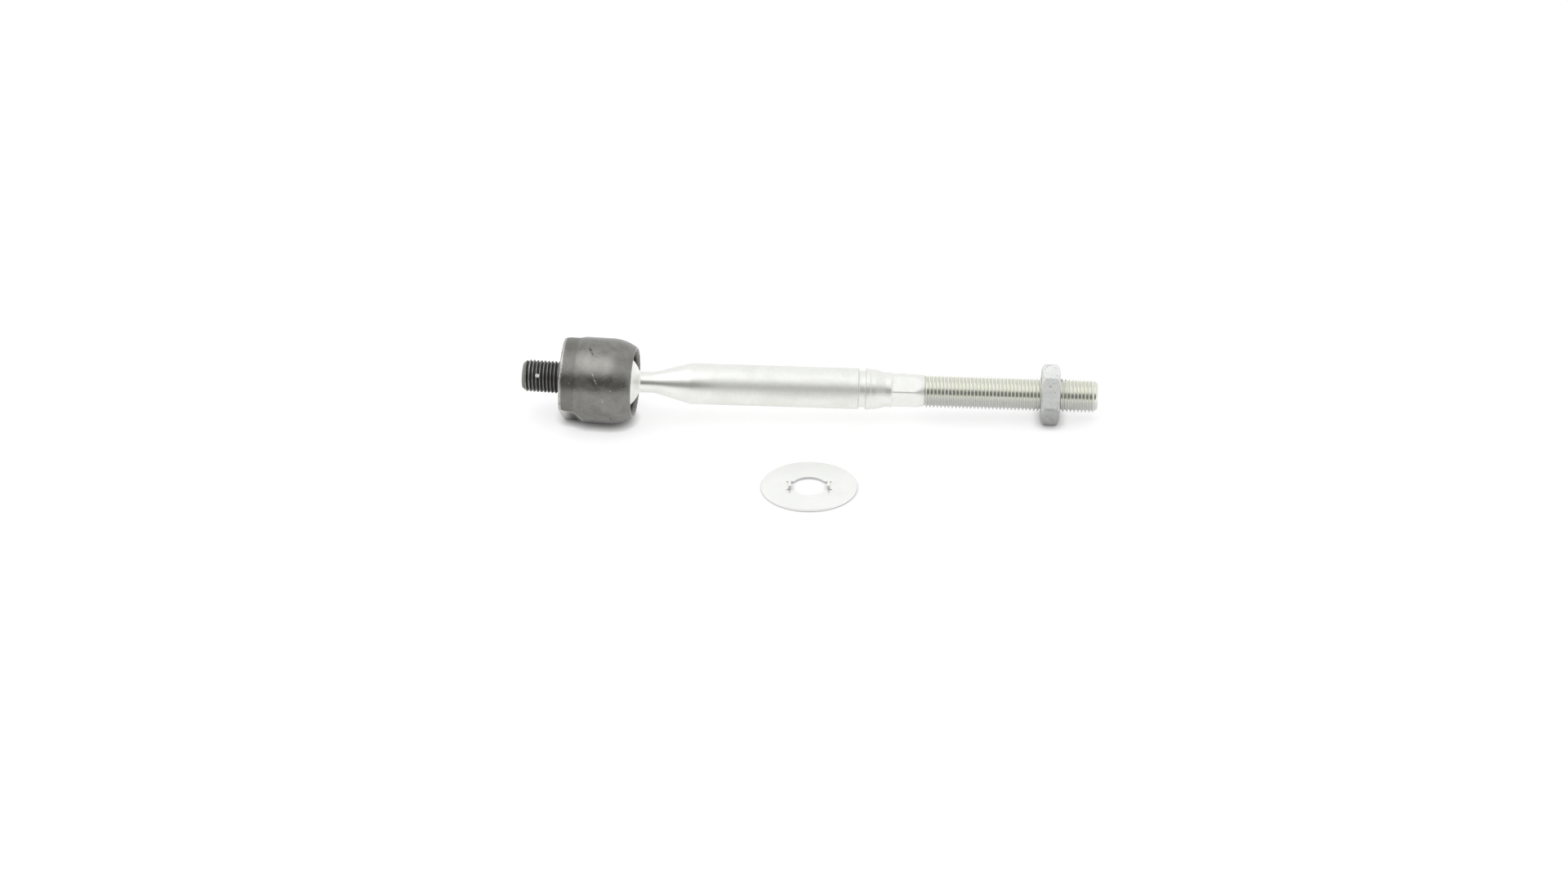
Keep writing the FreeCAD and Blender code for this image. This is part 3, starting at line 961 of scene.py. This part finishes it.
# studio: pale floor, soft overhead light, camera at the photograph's angle; lengths are in metres, and
# the last four are spans of the sky's own y and z
studio = {
    "floorHalf": 4.0, "floorColour": (0.45, 0.45, 0.45, 1.0), "floorLift": 0.65, "contact": 0.004,
    "sky": (0.98, 0.985, 0.995), "overhead": (1.1, 1.105, 1.1), "dim": (0.22, 0.22, 0.212),
    "azimuthDeg": 8.0, "elevationDeg": 29.9, "lens": 300.0, "sensor": 36.0, "distance": 5.2945,
    "aside": 0.0709, "above": -0.02437,
    "dimY": (-0.68, -0.3), "dimZ": (0.58, 0.76), "overheadZ": (0.68, 0.8), "overheadY": (0.0, 0.3),
}

lamps = {
    "softbox": {"at": (-0.45, -0.28, 0.85), "aim": (0.03, 0.0, 0.0), "size": (1.1, 1.1), "power": 2.1},
}


def makeFloor():
    mesh = bpy.data.meshes.new("floor")
    h = studio["floorHalf"]
    corners = [(-h, -h, floorZ), (h, -h, floorZ), (h, h, floorZ), (-h, h, floorZ)]
    mesh.from_pydata(corners, [], [(0, 1, 2, 3)])
    floor = bpy.data.objects.new("floor", mesh)
    bpy.context.scene.collection.objects.link(floor)
    material = bpy.data.materials.new("floorPaper")
    material.use_nodes = True
    n = Nodes(material.node_tree)
    diffuse = n.put("ShaderNodeBsdfDiffuse", {"Color": studio["floorColour"]})
    path = n.put("ShaderNodeLightPath").outputs
    seen = n.math("MAXIMUM", path["Is Camera Ray"], path["Is Glossy Ray"])
    seen = n.math("MAXIMUM", seen, path["Is Transmission Ray"])
    # the glow fades where something stands close, which keeps the contact shadow
    openness = n.put("ShaderNodeAmbientOcclusion", {"Distance": studio["contact"]}).outputs["AO"]
    seen = n.math("MULTIPLY", seen, openness)
    glow = n.put("ShaderNodeEmission", {"Strength": n.math("MULTIPLY", seen, studio["floorLift"])})
    both = n.put("ShaderNodeAddShader", {0: diffuse.outputs[0], 1: glow.outputs[0]})
    n.put("ShaderNodeOutputMaterial", {"Surface": both.outputs[0]})
    mesh.materials.append(material)


def makeWorld():
    world = bpy.data.worlds.new("studio")
    bpy.context.scene.world = world
    world.use_nodes = True
    n = Nodes(world.node_tree)
    way = n.put("ShaderNodeTexCoord").outputs["Generated"]
    parts = n.put("ShaderNodeSeparateXYZ", {"Vector": way}).outputs
    # the unlit room in front of the table, seen between the floor and the softboxes
    front = n.ramp(parts["Y"], *studio["dimY"], 1.0, 0.0)
    low = n.ramp(parts["Z"], *studio["dimZ"], 1.0, 0.0)
    dark = n.math("MULTIPLY", front, low)
    # a brighter softbox from above the camera to just past the zenith
    high = n.ramp(parts["Y"], *studio["overheadY"], 1.0, 0.0)
    high = n.math("MULTIPLY", n.ramp(parts["Z"], *studio["overheadZ"]), high)
    colour = n.mix(high, (*studio["sky"], 1.0), (*studio["overhead"], 1.0))
    colour = n.mix(dark, colour, (*studio["dim"], 1.0))
    seen = n.put("ShaderNodeLightPath").outputs["Is Camera Ray"]
    colour = n.mix(seen, colour, (1.0, 1.0, 1.0, 1.0))
    sky = n.put("ShaderNodeBackground", {"Color": colour, "Strength": 1.0})
    n.put("ShaderNodeOutputWorld", {"Surface": sky.outputs[0]})


def makeLamps():
    for name, s in lamps.items():
        light = bpy.data.lights.new(name, "AREA")
        light.shape = "RECTANGLE"
        light.size, light.size_y = s["size"]
        light.energy = s["power"]
        lamp = bpy.data.objects.new(name, light)
        lamp.location = s["at"]
        lamp.rotation_euler = (Vector(s["aim"]) - Vector(s["at"])).to_track_quat("-Z", "Y").to_euler()
        lamp.visible_camera = False
        bpy.context.scene.collection.objects.link(lamp)


def makeCamera():
    a, e = math.radians(studio["azimuthDeg"]), math.radians(studio["elevationDeg"])
    look = Vector((-math.sin(a) * math.cos(e), math.cos(a) * math.cos(e), -math.sin(e)))
    right = Vector((math.cos(a), math.sin(a), 0))
    up = right.cross(look)
    data = bpy.data.cameras.new("camera")
    data.lens = studio["lens"]
    data.sensor_width = studio["sensor"]
    camera = bpy.data.objects.new("camera", data)
    camera.location = ballCentre - look * studio["distance"] + right * studio["aside"] + up * studio["above"]
    camera.rotation_euler = look.to_track_quat("-Z", "Y").to_euler()
    bpy.context.scene.collection.objects.link(camera)
    bpy.context.scene.camera = camera


makeFloor()
makeWorld()
makeLamps()
makeCamera()
bpy.context.scene.view_settings.view_transform = "Standard"
print("studio made")
